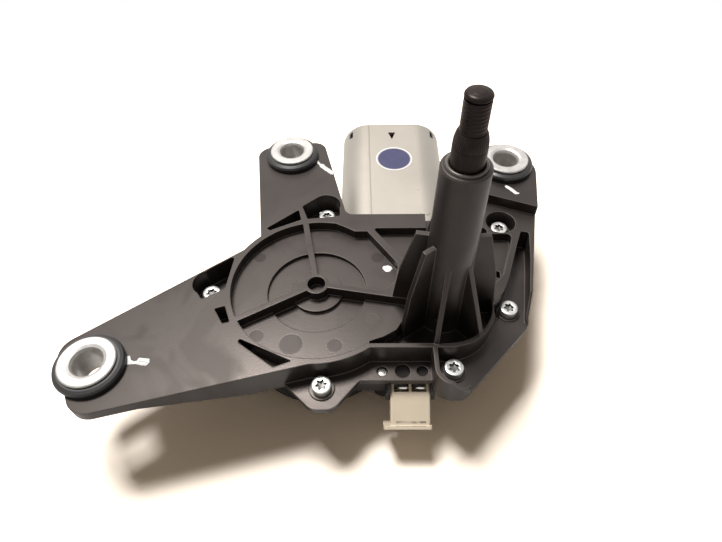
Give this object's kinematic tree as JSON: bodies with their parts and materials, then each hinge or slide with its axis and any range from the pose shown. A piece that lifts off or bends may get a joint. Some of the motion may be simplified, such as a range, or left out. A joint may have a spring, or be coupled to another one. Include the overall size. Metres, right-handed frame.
{
  "type": "rear wiper motor",
  "caption": "Geared rear wiper motor with a tall threaded output shaft, a ribbed plastic housing on rubber-mounted arms, and a steel motor can.",
  "frame": {"origin": "centre of the shoulder at the foot of the output shaft's thread, where the wiper arm seats", "axes": "+Z along the output shaft, out of the tower; +Y towards the closed end of the motor can; +X away from the long mounting arm"},
  "size_m": [0.192, 0.1766, 0.1365],
  "materials": {
    "black_plastic": "moulded glass-filled plastic, fine grain",
    "gasket_rubber": "soft rubber",
    "black_rubber": "smooth rubber",
    "zinc_steel": "zinc plated",
    "can_steel": "zinc plated sheet, satin",
    "bright_steel": "ground",
    "dark_steel": "phosphated",
    "gear_steel": "sintered",
    "bearing_bronze": "sintered bronze",
    "gear_plastic": "natural acetal",
    "contact_brass": "stamped",
    "stack_iron": "stamped sheet",
    "copper": "enamelled copper",
    "magnet_ferrite": "pressed ferrite",
    "card_resin": "pressed resin board",
    "carbon": "pressed carbon",
    "cream_plastic": "moulded, semi gloss"
  },
  "bodies": {
    "housing": {"upper_housing": "black_plastic", "lower_case": "black_plastic", "housing_seal": "gasket_rubber", "tower_seal": "gasket_rubber", "grommet_left": "black_rubber", "grommet_top": "black_rubber", "grommet_right": "black_rubber", "sleeve_left": "zinc_steel", "sleeve_top": "zinc_steel", "sleeve_right": "zinc_steel", "housing_screws": "zinc_steel", "motor_can": "can_steel", "wheel_axle": "bright_steel", "thrust_washer": "bright_steel", "rear_bearing_holder": "bright_steel", "tower_bush_lower": "bearing_bronze", "tower_bush_upper": "bearing_bronze", "front_bush": "bearing_bronze", "middle_bush": "bearing_bronze", "rear_bush": "bearing_bronze", "thrust_pad": "gear_plastic", "park_contacts": "contact_brass", "connector_terminals": "contact_brass", "brush_arm_left": "contact_brass", "brush_arm_right": "contact_brass", "choke_left": "stack_iron", "choke_right": "stack_iron", "magnet_left": "magnet_ferrite", "magnet_right": "magnet_ferrite", "brush_card": "card_resin", "circuit_board": "card_resin", "brush_left": "carbon", "brush_right": "carbon", "connector_shell": "cream_plastic"},
    "output": {"output_shaft": "dark_steel", "output_pinion": "gear_steel"},
    "link": {"link_plate": "bright_steel", "link_pin": "bright_steel"},
    "sector": {"sector_lever": "gear_steel", "crank_pin": "bright_steel"},
    "wheel": {"worm_wheel": "gear_plastic", "park_disc": "contact_brass"},
    "armature": {"armature_shaft": "gear_steel", "lamination_stack": "stack_iron", "armature_winding": "copper", "commutator": "copper"}
  },
  "joints": [
    {"name": "output_turn", "type": "hinge", "parent": "housing", "child": "output", "pos_m": [0, 0, -0.05], "axis": [0, 0, 1], "range_deg": [0, 120]},
    {"name": "link_swing", "type": "hinge", "parent": "housing", "child": "link", "pos_m": [0, 0, -0.0918], "axis": [0, 0, 1], "range_deg": [0, 40]},
    {"name": "sector_swing", "type": "hinge", "parent": "link", "child": "sector", "pos_m": [0.00161, 0.02244, -0.096], "axis": [0, 0, 1], "range_deg": [-40, 0]},
    {"name": "wheel_turn", "type": "hinge", "parent": "housing", "child": "wheel", "pos_m": [-0.05, 0.0092, -0.1065], "axis": [0, 0, 1], "continuous": true},
    {"name": "armature_spin", "type": "hinge", "parent": "housing", "child": "armature", "pos_m": [-0.016, 0.06, -0.1065], "axis": [0, 1, 0], "continuous": true}
  ],
  "couplings": [
    {"joint": "link_swing", "follows": "output_turn", "ratio": 0.33333},
    {"joint": "sector_swing", "follows": "output_turn", "ratio": -0.33333},
    {"joint": "armature_spin", "follows": "wheel_turn", "ratio": -58}
  ]
}
